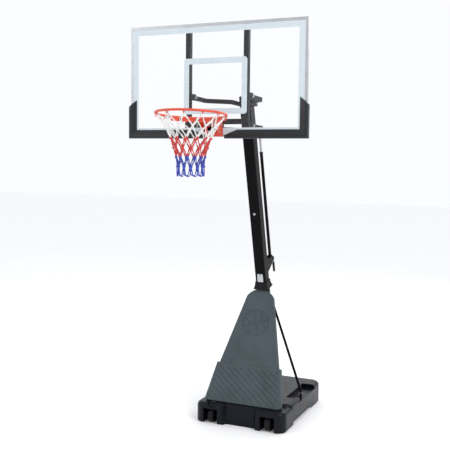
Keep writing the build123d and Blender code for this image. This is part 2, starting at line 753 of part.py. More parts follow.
def make_lower_arm(side):
    tube_end = LINK_LENGTH + 70.0
    tube = bent_tube(tube_end)
    tube = bushed(tube, UPRIGHT_X, 0, PIN / 2 + OPEN_CLEARANCE)
    tube = bushed(tube, ARM_INNER_X, LINK_LENGTH, PIN / 2 + RUN_CLEARANCE)
    points = slot_points()
    far = max(y for y, z in points) + 20
    low = min(z for y, z in points) - 18
    high = max(z for y, z in points) + 18
    near = min(y for y, z in points) - 26
    half = (ARM_H - 2 * ARM_WALL) / 2
    outline = [(tube_end - 45, -half), (tube_end - 45, half), (tube_end, half),
               (near, high), (far, high), (far, low), (near, low), (tube_end, -half)]
    bar = prism_x(outline, ARM_INNER_X - PLATE_BAR / 2, ARM_INNER_X + PLATE_BAR / 2)
    arm = in_arm(tube + bar - make_slot_cutter(ARM_INNER_X), LOWER_BOARD)
    return arm if side > 0 else mirror(arm, Plane.YZ)


def make_pole_pin(pivot):
    """Long bolt through the pole and both arms."""
    half = ARM_INNER_X + ARM_W / 2 + 1.0
    return bolt_x(PIN / 2, half, -half, *pivot)


def make_pole_spacers(pivot):
    """Sleeves that hold the arms off the pole."""
    inner = POLE / 2
    outer = inner + ARM_POLE_GAP - 0.5
    right = tube_x(BUSH / 2, PIN / 2, inner, outer, *pivot)
    left = tube_x(BUSH / 2, PIN / 2, -outer, -inner, *pivot)
    return [left, right]


def make_arm_spacers():
    return group(make_pole_spacers(UPPER_POLE) + make_pole_spacers(LOWER_POLE))


# ---- pole ------------------------------------------------------------------
def pin_hole(pivot):
    return rod_x(PIN / 2, -POLE, POLE, *pivot)


def make_pole_lower():
    tube = square_tube(POLE, POLE, POLE_WALL, POLE_CORNER, POLE_JOINT - JOINT_GAP / 2 - POLE_START)
    body = in_pole(Pos(0, 0, POLE_START) * tube)
    body = body - in_pole(rod_x(STRUT_BOLT / 2, -POLE, POLE, STRUT_TOP_V, STRUT_TOP_S))
    body = body - in_pole(rod_x(FOOT_BOLT / 2, -POLE, POLE, 0, POLE_START + FOOT_BOLT_UP))
    body = body - in_pole(rod_y(CLIP_BOLT / 2, 0, -POLE, 0, CLIP_BOLT_S))
    return body


def make_pole_upper():
    start = POLE_JOINT + JOINT_GAP / 2
    tube = square_tube(POLE, POLE, POLE_WALL, POLE_CORNER, POLE_END - start)
    body = in_pole(Pos(0, 0, start) * tube)
    body = body - pin_hole(UPPER_POLE) - pin_hole(LOWER_POLE)
    return body - in_pole(rod_y(JOINT_BOLT / 2, 0, -POLE, POLE, POLE_JOINT + JOINT_BOLT_UP))


def make_pole_coupler():
    side = POLE - 2 * POLE_WALL - 2 * COUPLER_GAP
    tube = square_tube(side, side, 3.0, POLE_CORNER - POLE_WALL, 2 * COUPLER_HALF)
    body = in_pole(Pos(0, 0, POLE_JOINT - COUPLER_HALF) * tube)
    return body - in_pole(rod_y(JOINT_BOLT / 2, 0, -POLE, POLE, POLE_JOINT + JOINT_BOLT_UP))


def make_pole_joint_bolt():
    bolt = bolt_y(JOINT_BOLT / 2, 0, -POLE / 2, POLE / 2, POLE_JOINT + JOINT_BOLT_UP)
    return in_pole(bolt)


def make_pole_cap():
    lid = extrude(RectangleRounded(POLE, POLE, POLE_CORNER), 8)
    plug_side = POLE - 2 * POLE_WALL - 0.2
    plug = extrude(RectangleRounded(plug_side, plug_side, POLE_CORNER - POLE_WALL), -22)
    hollow = Pos(0, 0, -2) * extrude(RectangleRounded(plug_side - 6, plug_side - 6, 3), -25)
    top = fillet(lid.faces().sort_by(Axis.Z)[-1].edges(), 3.5)
    return in_pole(Pos(0, 0, POLE_END) * (top + plug - hollow))


def foot_bolt_place():
    """World (y, z) of the bolt through the pole's foot."""
    s = POLE_START + FOOT_BOLT_UP
    return POLE_FLOOR_Y - s * SIN_LEAN, s * COS_LEAN


def make_pole_foot():
    """Steel saddle in the base's socket, with two cheeks beside the pole."""
    y, z = foot_bolt_place()
    inner = POLE / 2 + 0.3
    outer = inner + 5
    half_y = 52.0
    floor = box(-outer, outer, y - half_y, y + half_y, SOCKET_Z, SOCKET_Z + 5)
    body = floor
    for x0, x1 in ((-outer, -inner), (inner, outer)):
        body = body + box(x0, x1, y - 40, y + 40, SOCKET_Z, z + 22)
    return body - rod_x(FOOT_BOLT / 2, -POLE, POLE, y, z)


def make_foot_bolt():
    reach = POLE / 2 + 5.3
    return bolt_x(FOOT_BOLT / 2, reach, -reach, *foot_bolt_place())


# ---- struts ----------------------------------------------------------------
def strut_top():
    """World (y, z) of the bolt that holds both struts to the pole."""
    y = POLE_FLOOR_Y + STRUT_TOP_V * COS_LEAN - STRUT_TOP_S * SIN_LEAN
    z = STRUT_TOP_V * SIN_LEAN + STRUT_TOP_S * COS_LEAN
    return y, z


def bar_between(start, end, radius):
    """Round bar between two points."""
    a = Vector(*start)
    b = Vector(*end)
    plane = Plane(origin=a, z_dir=(b - a).normalized())
    return plane.location * Cylinder(radius, (b - a).length, align=(Align.CENTER, Align.CENTER, Align.MIN))


def make_strut(side):
    """Tube with flattened ends, from the pole's side to the base's shoulder."""
    y, z = strut_top()
    x = POLE / 2 + 0.3
    top = (x + STRUT_R + 0.5, y + 1.5, z - 34)
    foot = (STRUT_FOOT_X, STRUT_FOOT_Y, SHOULDER_Z + 42)
    bar = bar_between(top, foot, STRUT_R) - bar_between(top, foot, STRUT_R - 2)
    tab = box(x, x + TAB_T, y - TAB_W / 2, y + TAB_W / 2, z - 42, z)
    tab = tab + rod_x(TAB_W / 2, x, x + TAB_T, y, z)
    x_foot = STRUT_FOOT_X - TAB_T / 2
    foot_z = SHOULDER_Z + 20
    low = box(x_foot, x_foot + TAB_T, STRUT_FOOT_Y - 14, STRUT_FOOT_Y + 14, foot_z, foot_z + 32)
    low = low + rod_x(14, x_foot, x_foot + TAB_T, STRUT_FOOT_Y, foot_z)
    low = low - rod_x(STRUT_BOLT / 2, 0, BASE_W, STRUT_FOOT_Y, foot_z)
    tab = tab - rod_x(STRUT_BOLT / 2, 0, POLE, y, z)
    strut = bar + tab + low
    return strut if side > 0 else mirror(strut, Plane.YZ)


def make_strut_top_bolt():
    reach = POLE / 2 + 0.3 + TAB_T
    y, z = strut_top()
    return bolt_x(STRUT_BOLT / 2, reach, -reach, y, z)


def make_foot_bracket(side):
    """Angle on the base's shoulder that the strut's foot is bolted to."""
    inner = STRUT_FOOT_X + TAB_T / 2 + 0.1
    z = SHOULDER_Z
    flat = box(inner - 48, inner + 5, STRUT_FOOT_Y - 30, STRUT_FOOT_Y + 30, z, z + 4)
    ear = box(inner, inner + 5, STRUT_FOOT_Y - 20, STRUT_FOOT_Y + 20, z, z + 40)
    body = flat + ear - rod_x(STRUT_BOLT / 2, 0, BASE_W, STRUT_FOOT_Y, z + 20)
    return body if side > 0 else mirror(body, Plane.YZ)


def make_foot_brackets():
    return group([make_foot_bracket(-1), make_foot_bracket(1)])


def make_strut_foot_bolts():
    x0 = STRUT_FOOT_X + TAB_T / 2 + 5.1
    x1 = STRUT_FOOT_X - TAB_T / 2
    right = bolt_x(STRUT_BOLT / 2, x0, x1, STRUT_FOOT_Y, SHOULDER_Z + 20)
    return group([right, mirror(right, Plane.YZ)])


# ---- jack and crank --------------------------------------------------------
def jack_foot_in_pole():
    """Jack's lower pivot in the pole's axes: (behind, along)."""
    dy = JACK_FOOT_Y - POLE_FLOOR_Y
    behind = dy * COS_LEAN + JACK_FOOT_Z * SIN_LEAN
    along = JACK_FOOT_Z * COS_LEAN - dy * SIN_LEAN
    return behind, along


def make_jack_bracket():
    """Back plate on the pole with two tapered cheeks for the jack's pivot."""
    behind, along = jack_foot_in_pole()
    back = POLE / 2
    inner = JACK_GEAR_R + 3
    outline = [(back, along - 78), (back, along + 55), (behind, along + 19),
               (behind, along - 19), (back + 60, along - 60)]
    body = box(-POLE / 2 + 6, POLE / 2 - 6, back, back + 4, along - 82, along + 62)
    for x0, x1 in ((-inner - 5, -inner), (inner, inner + 5)):
        cheek_plate = prism_x(outline, x0, x1) + rod_x(19, x0, x1, behind, along)
        body = body + cheek_plate
    body = body - rod_x(JACK_TRUNNION_R + RUN_CLEARANCE, -POLE, POLE, behind, along)
    return in_pole(body)


def make_jack_tube():
    """Outer tube of the jack with its pivot block."""
    tube = Cylinder(JACK_TUBE_R, JACK_TUBE_TOP, align=(Align.CENTER, Align.CENTER, Align.MIN))
    bore = Pos(0, 0, 24) * Cylinder(
        JACK_TUBE_R - JACK_TUBE_WALL, JACK_TUBE_TOP, align=(Align.CENTER, Align.CENTER, Align.MIN)
    )
    block = Cylinder(JACK_GEAR_R, 48)
    trunnions = rod_x(JACK_TRUNNION_R, -JACK_GEAR_R - 12, JACK_GEAR_R + 12, 0, 0)
    body = tube + block + trunnions - bore
    return in_jack(body - Cylinder(SCREW_R + RUN_CLEARANCE, 120))


def make_jack_gland():
    """Guide ring pressed on the tube's mouth."""
    low = JACK_TUBE_TOP
    ring = Cylinder(JACK_TUBE_R + 1.5, 14) - Cylinder(JACK_ROD_R + 0.3, 16)
    return in_jack(Pos(0, 0, low + 7) * ring)


def make_jack_rod():
    """Hollow rod that slides in the tube, with the eye for the top pin."""
    low = JACK_ROD_START
    length = JACK_LENGTH - low
    shaft = Cylinder(JACK_ROD_R, length, align=(Align.CENTER, Align.CENTER, Align.MIN))
    bore = Pos(0, 0, -1) * Cylinder(
        JACK_ROD_BORE_R, length - 40, align=(Align.CENTER, Align.CENTER, Align.MIN)
    )
    eye = rod_x(17, -15, 15, 0, length)
    body = shaft - bore + eye - rod_x(PIN / 2, -20, 20, 0, length)
    return in_jack(Pos(0, 0, low) * body)


def make_jack_nut():
    """Threaded nut fixed in the rod's lower end."""
    nut = Cylinder(JACK_TUBE_R - JACK_TUBE_WALL - 0.35, 24) - Cylinder(SCREW_R + 0.35, 26)
    return in_jack(Pos(0, 0, JACK_ROD_START - 12) * nut)


def make_jack_pin():
    """Cross pin through the rod's eye, working in the lower arms' slots."""
    half = ARM_INNER_X + PLATE_BAR / 2 + 1.5
    pin = rod_x(PIN / 2, -half, half, 0, JACK_LENGTH)
    for side in (-1, 1):
        x0 = side * half
        x1 = side * (half + 4)
        pin = pin + rod_x(PIN * 0.85, min(x0, x1), max(x0, x1), 0, JACK_LENGTH)
    return in_jack(pin)


def make_jack_screw():
    """Screw and crank shaft: one bar through the pivot block."""
    low = -CRANK_DROP
    bar = Pos(0, 0, low) * Cylinder(
        SCREW_R, SCREW_TOP - low, align=(Align.CENTER, Align.CENTER, Align.MIN)
    )
    collar = Pos(0, 0, -24 - 5) * Cylinder(11, 8)
    return in_jack(bar + collar)


def make_crank_arm():
    """Flat arm on the shaft's end with a stub for the grip."""
    low = -CRANK_DROP
    arm = box(-9, 9, 0, CRANK_ARM, low - 6, low) + Pos(0, 0, low - 3) * Cylinder(13, 6)
    arm = arm + Pos(0, CRANK_ARM, low - 3) * Cylinder(9, 6)
    stub = Pos(0, CRANK_ARM, low - 6) * Cylinder(
        CRANK_ROD_R, GRIP_L + 8, align=(Align.CENTER, Align.CENTER, Align.MAX)
    )
    end = Pos(0, CRANK_ARM, low - 6 - GRIP_L - 4) * Cylinder(
        8, 4, align=(Align.CENTER, Align.CENTER, Align.MAX)
    )
    return in_jack(arm + stub + end)


def make_crank_grip():
    top = -CRANK_DROP - 6 - 1.5
    grip = Cylinder(GRIP_R, GRIP_L, align=(Align.CENTER, Align.CENTER, Align.MAX))
    grip = fillet(grip.edges(), 3.5)
    grip = grip - Cylinder(CRANK_ROD_R + RUN_CLEARANCE, 3 * GRIP_L)
    return in_jack(Pos(0, CRANK_ARM, top) * grip)


# ---- base ------------------------------------------------------------------
def rounded_block(width, depth, height, corner, top_r, foot_r):
    """Block on the floor with rounded upright corners, top and foot edges."""
    body = extrude(RectangleRounded(width, depth, corner), height)
    body = fillet(body.faces().sort_by(Axis.Z)[-1].edges(), top_r)
    return fillet(body.faces().sort_by(Axis.Z)[0].edges(), foot_r)


def wheel_pocket(side, grow):
    """Space cut in the base's front for a wheel."""
    half = WHEEL_POCKET_W / 2 + grow
    x = side * WHEEL_X
    y1 = BASE_FRONT_Y + WHEEL_POCKET_D + grow
    return box(x - half, x + half, BASE_FRONT_Y - 50, y1, -50, WHEEL_POCKET_H + grow)


def front_recess(grow):
    """Shallow recess in the middle of the front."""
    half = RECESS_W / 2 + grow
    outline = [(-half - RECESS_D, BASE_FRONT_Y - 20), (half + RECESS_D, BASE_FRONT_Y - 20),
               (half, BASE_FRONT_Y + RECESS_D + grow), (-half, BASE_FRONT_Y + RECESS_D + grow)]
    return Pos(0, 0, -20) * prism_z(outline, BASE_H + 60)


def side_notch(side, grow):
    """Raised edge between the front and rear feet of one side."""
    x0 = BASE_W / 2 - SIDE_NOTCH_D - grow
    piece = box(x0, BASE_W, SHOULDER_Y0 - 130, SHOULDER_Y1 - 60, -50, SIDE_NOTCH_H + grow)
    return piece if side > 0 else mirror(piece, Plane.YZ)


def shoulder(side, grow):
    """Sunk shelf at the side that the strut's foot stands on."""
    x0 = BASE_W / 2 - SHOULDER_W - grow
    outline = [(x0, SHOULDER_Y0 - grow), (BASE_W, SHOULDER_Y0 - 30 - grow),
               (BASE_W, SHOULDER_Y1 + 60 + grow), (x0, SHOULDER_Y1 + grow)]
    piece = Pos(0, 0, SHOULDER_Z - grow) * prism_z(outline, 200)
    return piece if side > 0 else mirror(piece, Plane.YZ)


def pole_socket(grow):
    """Pocket in the top for the pole's foot."""
    half_w = SOCKET_W / 2 + grow
    half_d = SOCKET_D / 2 + grow
    return box(-half_w, half_w, SOCKET_Y - half_d, SOCKET_Y + half_d, SOCKET_Z - grow, BASE_H + 100)


def cap_recess(grow):
    """Round seat for the fill cap in the front's sloping shoulder."""
    seat = Cylinder(CAP_RECESS_R + grow, 80, align=(Align.CENTER, Align.CENTER, Align.MIN))
    return CAP_FRAME.location * (Pos(0, 0, -CAP_SEAT_DEPTH - grow) * seat)


def foot_gap(side, grow):
    """Hollow underneath, between the edge's foot and the middle foot."""
    x1 = BASE_W / 2 - FOOT_EDGE + grow
    d = BASE_D / 2 - 1.45 * FOOT_EDGE + grow
    piece = box(FOOT_RIB - grow, x1, -d, d, -50, FOOT_RISE + grow)
    return piece if side > 0 else mirror(piece, Plane.YZ)


def base_cutters(grow):
    cutters = [front_recess(grow), pole_socket(grow), cap_recess(grow)]
    for side in (-1, 1):
        cutters.append(foot_gap(side, grow))
        cutters.append(wheel_pocket(side, grow))
        cutters.append(side_notch(side, grow))
        cutters.append(shoulder(side, grow))
    return cutters


def base_block(wall):
    """Base before its cuts: a low front and a higher rear, shrunk by a wall."""
    front = rounded_block(
        BASE_W - 2 * wall, BASE_D - 2 * wall, DECK_H - 2 * wall,
        BASE_CORNER - wall, BASE_TOP_R - wall, BASE_FOOT_R - wall,
    )
    rear_d = BASE_D / 2 - DECK_BACK_Y
    rear = rounded_block(
        BASE_W - 2 * wall, rear_d - 2 * wall, BASE_H - 2 * wall,
        BASE_CORNER - wall, BASE_TOP_R - wall, BASE_FOOT_R - wall,
    )
    return Pos(0, 0, wall) * (front + Pos(0, BASE_D / 2 - rear_d / 2, 0) * rear)


def base_cavity():
    wall = BASE_WALL
    inner = base_block(wall)
    for cutter in base_cutters(wall):
        inner = inner - cutter
    return biggest(inner)


def biggest(shape):
    return max(shape.solids(), key=lambda solid: solid.volume)


def make_base_tank():
    body = base_block(0)
    for cutter in base_cutters(0):
        body = body - cutter
    body = body - base_cavity() - neck_hole(CAP_NECK_R)
    for side in (-1, 1):
        body = body - axle_bar(side, AXLE_R, AXLE_GRIP)
    return biggest(body)


def neck_hole(radius):
    """Hole under the cap's seat, a little deeper than the cap's neck."""
    hole = Cylinder(radius, CAP_NECK_L + 4, align=(Align.CENTER, Align.CENTER, Align.MAX))
    return CAP_FRAME.location * (Pos(0, 0, -CAP_SEAT_DEPTH) * hole)


def make_ballast():
    """Water in the tank, up to the fill level."""
    water = base_cavity() & box(-BASE_W, BASE_W, -BASE_D, BASE_D, 0, FILL_LEVEL)
    return biggest(water - neck_hole(CAP_NECK_R + 3))


def axle_bar(side, radius, grip):
    half = WHEEL_POCKET_W / 2 + grip
    x = side * WHEEL_X
    return rod_x(radius, x - half, x + half, WHEEL_Y, WHEEL_Z)


def make_axles():
    return group([axle_bar(-1, AXLE_R, AXLE_GRIP), axle_bar(1, AXLE_R, AXLE_GRIP)])


def make_axle_spacers():
    """Sleeves that keep each wheel in the middle of its pocket."""
    sleeves = []
    gap = 0.6
    for side in (-1, 1):
        for end in (-1, 1):
            x_in = side * WHEEL_X + end * (WHEEL_W / 2 + gap)
            x_out = side * WHEEL_X + end * WHEEL_POCKET_W / 2
            sleeves.append(tube_x(11, AXLE_R, min(x_in, x_out), max(x_in, x_out), WHEEL_Y, WHEEL_Z))
    return group(sleeves)


def make_wheel(side):
    """Moulded wheel: tread, recessed web and hub in one piece."""
    outer = Cylinder(WHEEL_R, WHEEL_W)
    outer = fillet(outer.edges(), 6)
    dish = Cylinder(WHEEL_R - 14, 14) - Cylinder(19, 16)
    body = outer - Pos(0, 0, WHEEL_W / 2 - 7) * dish - Pos(0, 0, -WHEEL_W / 2 + 7) * dish
    body = body - Cylinder(AXLE_R + AXLE_CLEARANCE, WHEEL_W + 4)
    return Pos(side * WHEEL_X, WHEEL_Y, WHEEL_Z) * Rot(0, 90, 0) * body


def make_fill_cap():
    """Screw cap with grip ribs and a neck into the tank's hole."""
    seat = -CAP_SEAT_DEPTH + CAP_CLEARANCE
    lid = Pos(0, 0, seat) * standing(CAP_R, 14)
    lid = fillet(lid.faces().sort_by(Axis.Z)[-1].edges(), 3)
    for i in range(CAP_RIBS):
        angle = 2 * math.pi * i / CAP_RIBS
        x = CAP_R * math.cos(angle)
        y = CAP_R * math.sin(angle)
        lid = lid - Pos(x, y, seat + 7) * Cylinder(2.2, 20)
    bar = Pos(0, 0, seat + 17) * Box(2 * CAP_R - 18, 9, 8)
    neck = Pos(0, 0, seat) * Cylinder(
        CAP_NECK_R - CAP_CLEARANCE, CAP_NECK_L, align=(Align.CENTER, Align.CENTER, Align.MAX)
    )
    return CAP_FRAME.location * (lid + bar + neck)


# ---- cover -----------------------------------------------------------------
def cover_frame():
    """Plane of the cover's front: x right, y up the slope, z forwards."""
    top_y = POLE_FLOOR_Y - COVER_TOP_S * SIN_LEAN - POLE / 2 * COS_LEAN
    top_z = COVER_TOP_S * COS_LEAN - POLE / 2 * SIN_LEAN
    rise = math.hypot(top_y - COVER_BOTTOM_Y, top_z - COVER_BOTTOM_Z)
    up = Vector(0, (top_y - COVER_BOTTOM_Y) / rise, (top_z - COVER_BOTTOM_Z) / rise)
    frame = Plane(
        origin=(0, COVER_BOTTOM_Y, COVER_BOTTOM_Z), x_dir=(1, 0, 0), z_dir=(0, -up.Z, up.Y)
    )
    return frame, rise


def upper_outline(rise, inset):
    """Arch-topped upper panel."""
    low = COVER_STEP_AT * rise
    shoulder_y = rise - COVER_ARCH_H
    half_low = COVER_UPPER_HALF - inset
    half_top = COVER_ARCH_HALF - inset
    top = rise - inset
    line = Polyline((-half_top, shoulder_y), (-half_low, low), (half_low, low), (half_top, shoulder_y))
    arch = ThreePointArc((half_top, shoulder_y), (0, top), (-half_top, shoulder_y))
    return make_face_from([line, arch])


def make_face_from(edges):
    sketch_edges = []
    for item in edges:
        sketch_edges.extend(item.edges())
    return Face(Wire(sketch_edges))


def lower_outline(rise, inset):
    """Wider foot panel below the step."""
    high = COVER_STEP_AT * rise + COVER_STEP - inset
    half_low = COVER_BOTTOM_HALF - inset
    half_top = COVER_STEP_HALF + 8 - inset
    points = [(-half_low, inset), (half_low, inset), (half_top, high), (-half_top, high)]
    face = polygon_face(points)
    corners = face.vertices().sort_by(Axis.Y)[:2]
    return fillet(corners, 26 - inset)


def cover_solid(inset):
    rise = cover_frame()[1]
    back = -COVER_DEPTH if inset == 0 else -COVER_DEPTH - 10
    front = -inset
    upper = Pos(0, 0, front) * extrude(upper_outline(rise, inset), back, dir=(0, 0, 1), taper=0)
    lower = Pos(0, 0, front + COVER_PROUD) * extrude(
        lower_outline(rise, inset), back - COVER_PROUD, dir=(0, 0, 1), taper=0
    )
    return upper, lower


def make_cover():
    """Thin moulded shell, open behind, notched round the pole and the struts."""
    frame, rise = cover_frame()
    upper, lower = cover_solid(0)
    upper_in, lower_in = cover_solid(COVER_T)
    outer = fillet_front(upper, 0) + fillet_front(lower, COVER_PROUD)
    shell = outer - (upper_in + lower_in)
    shell = shell - cover_grooves(rise) - cover_ball(rise)
    body = frame.location * shell
    clear = POLE + 2 * COLLAR_GAP
    pole = in_pole(Pos(0, 0, POLE_START) * extrude(Rectangle(clear, clear), COVER_TOP_S))
    deck = box(-BASE_W, BASE_W, -BASE_D, BASE_D, 0, DECK_H + COVER_FLOOR_GAP)
    return biggest(body - pole - deck)


def fillet_front(solid, z):
    """Round the shell's front edges."""
    edges = [e for e in solid.edges() if abs(e.center().Z - z) < 0.01]
    return fillet(edges, COVER_EDGE_R)


def cover_grooves(rise):
    """Slanting flutes across the foot panel."""
    high = COVER_STEP_AT * rise - 14
    panel = lower_outline(rise, 22)
    keep = Pos(0, 0, COVER_PROUD - GROOVE_DEPTH) * extrude(panel, 40, dir=(0, 0, 1))
    keep = keep & box(-BASE_W, BASE_W, 22, high, -50, 50)
    bars = []
    for i in range(-GROOVES, GROOVES + 1):
        x = i * GROOVE_PITCH
        bars.append(Pos(x, high / 2, COVER_PROUD) * Rot(0, 0, -GROOVE_ANGLE) * Box(1400, GROOVE_W, 30))
    flutes = bars[0]
    for bar in bars[1:]:
        flutes = flutes + bar
    return flutes & keep


def cover_ball(rise):
    """Seams of a plain ball, sunk into the upper panel."""
    y = rise * BALL_AT
    seam = BALL_SEAM
    deep = 2 * BALL_SEAM_DEPTH
    ring = Cylinder(BALL_R, deep) - Cylinder(BALL_R - seam, deep + 2)
    disc = Cylinder(BALL_R, deep + 2)
    bars = Box(seam, 2 * BALL_R, deep) + Box(2 * BALL_R, seam, deep)
    arc_r = BALL_R * 1.1
    for side in (-1, 1):
        arc = Cylinder(arc_r, deep) - Cylinder(arc_r - seam, deep + 2)
        bars = bars + Pos(side * BALL_R * 1.55, 0, 0) * arc
    seams = ring + (bars & disc)
    return Pos(0, y, 0) * Rot(0, 0, 20) * seams


def make_collar():
    """Flared boot round the pole above the cover."""
    low = POLE + 2 * COLLAR_FLARE
    high = POLE + 12
    bottom = Plane(origin=(0, 0, COLLAR_S0)) * RectangleRounded(low, low, 20)
    middle = Plane(origin=(0, 0, (COLLAR_S0 + COLLAR_S1) / 2)) * RectangleRounded(high + 10, high + 10, 14)
    top = Plane(origin=(0, 0, COLLAR_S1)) * RectangleRounded(high, high, 11)
    skin = loft([bottom, middle, top])
    clear = POLE + 2 * COLLAR_GAP
    bore = extrude(RectangleRounded(clear, clear, POLE_CORNER), 2 * COLLAR_S1)
    return in_pole(skin - bore)


def make_clip_plate():
    plate = box(-PLATE_W / 2, PLATE_W / 2, -POLE / 2 - PLATE_T, -POLE / 2, PLATE_S0, PLATE_S1)
    plate = fillet(plate.edges().filter_by(Axis.Y), 6)
    return in_pole(plate - rod_y(CLIP_BOLT / 2, 0, -POLE, POLE, CLIP_BOLT_S))


def make_clip_bolt():
    bolt = bolt_y(CLIP_BOLT / 2, 0, -POLE / 2 - PLATE_T, -POLE / 2 + POLE_WALL, CLIP_BOLT_S)
    return in_pole(bolt)


# ---- all nodes -------------------------------------------------------------
def all_nodes():
    nodes = {
        "backboard_sheet": make_sheet() - rim_bolt_holes(),
        "frame_top": make_frame_rail(FRAME_TOP - FRAME_FACE),
        "frame_bottom": make_frame_rail(FRAME_BOTTOM),
        "frame_left": make_frame_side(-1),
        "frame_right": make_frame_side(1),
        "border_print": make_border_print() - box(-RIM_PLATE_W / 2 - 1, RIM_PLATE_W / 2 + 1,
                                                  BOARD_FACE_Y - 5, FRAME_BACK_Y, 0, RIM_HEIGHT + 6),
        "target_print": make_target_print(),
        "upright_left": make_upright(-1),
        "upright_right": make_upright(1),
        "crossbar": make_crossbar() - rim_bolt_holes(),
        "arm_brackets": group([make_brackets(UPPER_BOARD), make_brackets(LOWER_BOARD)]),
        "arm_board_bolts": group([make_board_bolts(UPPER_BOARD), make_board_bolts(LOWER_BOARD)]),
        "backing_plate": make_backing_plate(),
        "pad_left": make_pad(-1),
        "pad_right": make_pad(1),
        "rim_plate": make_rim_plate(),
        "rim_bolts": make_rim_bolts(),
        "rim_pin": make_rim_pin(),
        "rim_springs": make_rim_springs(),
        "rim_ring": make_ring(),
        "rim_strap": make_strap(),
        "rim_housing": make_housing(),
        "net_hooks": make_hooks(),
        "net": make_net(),
        "upper_arm_left": make_upper_arm(-1),
        "upper_arm_right": make_upper_arm(1),
        "lower_arm_left": make_lower_arm(-1),
        "lower_arm_right": make_lower_arm(1),
        "arm_pole_bolts": group([make_pole_pin(UPPER_POLE), make_pole_pin(LOWER_POLE)]),
        "arm_spacers": make_arm_spacers(),
        "pole_lower": make_pole_lower(),
        "pole_upper": make_pole_upper(),
        "pole_coupler": make_pole_coupler(),
        "pole_joint_bolt": make_pole_joint_bolt(),
        "pole_cap": make_pole_cap(),
        "pole_foot": make_pole_foot(),
        "pole_foot_bolt": make_foot_bolt(),
        "strut_left": make_strut(-1),
        "strut_right": make_strut(1),
        "strut_foot_brackets": make_foot_brackets(),
        "strut_bolts": group([make_strut_top_bolt(), make_strut_foot_bolts()]),
        "jack_bracket": make_jack_bracket(),
        "jack_tube": make_jack_tube(),
        "jack_gland": make_jack_gland(),
        "jack_rod": make_jack_rod(),
        "jack_nut": make_jack_nut(),
        "jack_pin": make_jack_pin(),
        "jack_screw": make_jack_screw(),
        "crank_arm": make_crank_arm(),
        "crank_grip": make_crank_grip(),
        "base_tank": make_base_tank(),
        "ballast_water": make_ballast(),
        "fill_cap": make_fill_cap(),
        "wheel_left": make_wheel(-1),
        "wheel_right": make_wheel(1),
        "wheel_axles": group([make_axles(), make_axle_spacers()]),
        "front_cover": make_cover(),
        "cover_collar": make_collar(),
        "cover_clip_plate": make_clip_plate(),
        "cover_clip_bolt": make_clip_bolt(),
    }
    return nodes


os.makedirs("parts", exist_ok=True)
for name, shape in all_nodes().items():
    export_step(shape, f"parts/{name}.step")
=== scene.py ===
import bpy
import bmesh
import json
import math
from mathutils import Matrix, Vector, noise


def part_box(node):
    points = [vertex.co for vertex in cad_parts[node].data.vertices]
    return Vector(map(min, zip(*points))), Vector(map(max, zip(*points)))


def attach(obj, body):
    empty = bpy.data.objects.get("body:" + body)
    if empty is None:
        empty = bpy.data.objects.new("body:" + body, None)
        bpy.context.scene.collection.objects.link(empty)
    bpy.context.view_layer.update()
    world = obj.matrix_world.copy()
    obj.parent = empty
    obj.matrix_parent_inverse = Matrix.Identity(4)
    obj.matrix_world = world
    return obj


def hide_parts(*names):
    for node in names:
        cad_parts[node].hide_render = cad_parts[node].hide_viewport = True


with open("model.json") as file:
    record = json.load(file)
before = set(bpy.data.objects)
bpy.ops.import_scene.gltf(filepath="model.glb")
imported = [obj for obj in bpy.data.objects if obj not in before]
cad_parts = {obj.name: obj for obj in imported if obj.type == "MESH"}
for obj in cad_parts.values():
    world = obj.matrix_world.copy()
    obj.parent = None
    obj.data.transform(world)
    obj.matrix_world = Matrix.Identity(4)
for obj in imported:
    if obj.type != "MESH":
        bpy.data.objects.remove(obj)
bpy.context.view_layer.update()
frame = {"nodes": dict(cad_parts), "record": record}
NODES = frame["nodes"]


# ---- materials ---------------------------------------------------------------
NOISE_LOW = 0.3             # noise rarely leaves this range
NOISE_HIGH = 0.7


